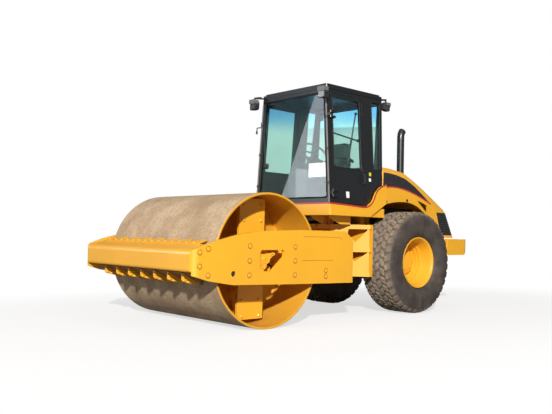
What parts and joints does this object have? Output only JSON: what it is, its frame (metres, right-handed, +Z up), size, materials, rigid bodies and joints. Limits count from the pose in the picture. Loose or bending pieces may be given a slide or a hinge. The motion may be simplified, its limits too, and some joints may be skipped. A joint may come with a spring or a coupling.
{
  "type": "single-drum vibratory road roller",
  "caption": "Road roller with a smooth steel drum in a bolted yoke, an articulated and oscillating hitch, a glazed cab, a tilting engine hood and two drive wheels.",
  "frame": {"origin": "centre of the bounding box's bottom, on the ground under the machine's middle", "axes": "+X forward, towards the drum; +Y the machine's left; +Z up"},
  "size_m": [5.51, 2.3, 3.0703],
  "materials": {
    "yellow_paint": "worn gloss paint",
    "black_paint": "satin paint",
    "tinted_glass": "clear tinted",
    "seat_fabric": "woven",
    "black_plastic": "grained",
    "cast_metal": "rough",
    "chrome_rod": "polished",
    "drum_steel": "worn and dusty",
    "tyre_rubber": "dusty"
  },
  "bodies": {
    "rear_frame": {"rear_frame": "yellow_paint", "hitch_nose": "yellow_paint", "cab_deck": "yellow_paint", "cab_frame": "black_paint", "cab_roof": "black_paint", "windshield": "tinted_glass", "rear_window": "tinted_glass", "quarter_glass_left": "tinted_glass", "quarter_glass_right": "tinted_glass", "seat_base": "black_plastic", "seat_cushion": "seat_fabric", "seat_back": "seat_fabric", "steering_console": "black_plastic", "steering_wheel": "black_plastic", "arm_console": "black_plastic", "engine_block": "cast_metal", "counterweight": "yellow_paint", "rear_axle": "yellow_paint"},
    "hitch": {"hitch_link": "cast_metal"},
    "front_yoke": {"side_plate_left": "yellow_paint", "side_plate_right": "yellow_paint", "front_beam": "yellow_paint", "rear_beam": "yellow_paint", "scraper_lower": "yellow_paint", "scraper_upper": "yellow_paint", "drum_support_left": "yellow_paint", "drum_support_right": "yellow_paint"},
    "drum": {"drum_shell": "drum_steel", "drum_head_left": "yellow_paint", "drum_head_right": "yellow_paint"},
    "wheel_left": {"rim_left": "yellow_paint", "tyre_left": "tyre_rubber"},
    "wheel_right": {"rim_right": "yellow_paint", "tyre_right": "tyre_rubber"},
    "door_left": {"door_left": "black_paint", "door_glass_left": "tinted_glass"},
    "door_right": {"door_right": "black_paint", "door_glass_right": "tinted_glass"},
    "hood": {"engine_hood": "yellow_paint", "rear_grille": "black_paint", "exhaust_stack": "black_paint"},
    "steering_barrel_left": {"steering_barrel_left": "yellow_paint"},
    "steering_barrel_right": {"steering_barrel_right": "yellow_paint"},
    "steering_rod_left": {"steering_rod_left": "chrome_rod"},
    "steering_rod_right": {"steering_rod_right": "chrome_rod"}
  },
  "joints": [
    {"name": "articulation", "type": "hinge", "parent": "rear_frame", "child": "hitch", "pos_m": [0.16, 0, 0.75], "axis": [0, 0, 1], "range_deg": [-34, 34]},
    {"name": "oscillation", "type": "hinge", "parent": "hitch", "child": "front_yoke", "pos_m": [0.41, 0, 0.75], "axis": [-1, 0, 0], "range_deg": [-15, 15]},
    {"name": "drum_spin", "type": "hinge", "parent": "front_yoke", "child": "drum", "pos_m": [1.66, 0, 0.767], "axis": [0, 1, 0], "continuous": true},
    {"name": "wheel_spin_left", "type": "hinge", "parent": "rear_frame", "child": "wheel_left", "pos_m": [-1.24, 0.775, 0.715], "axis": [0, 1, 0], "continuous": true},
    {"name": "wheel_spin_right", "type": "hinge", "parent": "rear_frame", "child": "wheel_right", "pos_m": [-1.24, -0.775, 0.715], "axis": [0, 1, 0], "continuous": true},
    {"name": "door_left_hinge", "type": "hinge", "parent": "rear_frame", "child": "door_left", "pos_m": [0.284, 0.74795, 1.62], "axis": [0, 0.0708, -0.9975], "range_deg": [0, 95]},
    {"name": "door_right_hinge", "type": "hinge", "parent": "rear_frame", "child": "door_right", "pos_m": [0.284, -0.74795, 1.62], "axis": [0, 0.0708, 0.9975], "range_deg": [0, 95]},
    {"name": "hood_hinge", "type": "hinge", "parent": "rear_frame", "child": "hood", "pos_m": [-0.89, 0, 2], "axis": [0, 1, 0], "range_deg": [0, 50]},
    {"name": "steering_barrel_left_swing", "type": "hinge", "parent": "rear_frame", "child": "steering_barrel_left", "pos_m": [-0.36, 0.34, 0.68], "axis": [0, 0, 1], "range_deg": [-3.2, 3.2]},
    {"name": "steering_barrel_right_swing", "type": "hinge", "parent": "rear_frame", "child": "steering_barrel_right", "pos_m": [-0.36, -0.34, 0.68], "axis": [0, 0, 1], "range_deg": [-3.2, 3.2]},
    {"name": "steering_rod_left_slide", "type": "slide", "parent": "steering_barrel_left", "child": "steering_rod_left", "axis": [0.992, -0.126, 0], "range_m": [-0.156, 0.156]},
    {"name": "steering_rod_right_slide", "type": "slide", "parent": "steering_barrel_right", "child": "steering_rod_right", "axis": [0.992, 0.126, 0], "range_m": [-0.156, 0.156]}
  ],
  "couplings": [
    {"joint": "steering_barrel_left_swing", "follows": "articulation", "ratio": 0.09},
    {"joint": "steering_barrel_right_swing", "follows": "articulation", "ratio": 0.09},
    {"joint": "steering_rod_left_slide", "follows": "articulation", "m_per_rad": -0.2604},
    {"joint": "steering_rod_right_slide", "follows": "articulation", "m_per_rad": 0.2604}
  ]
}
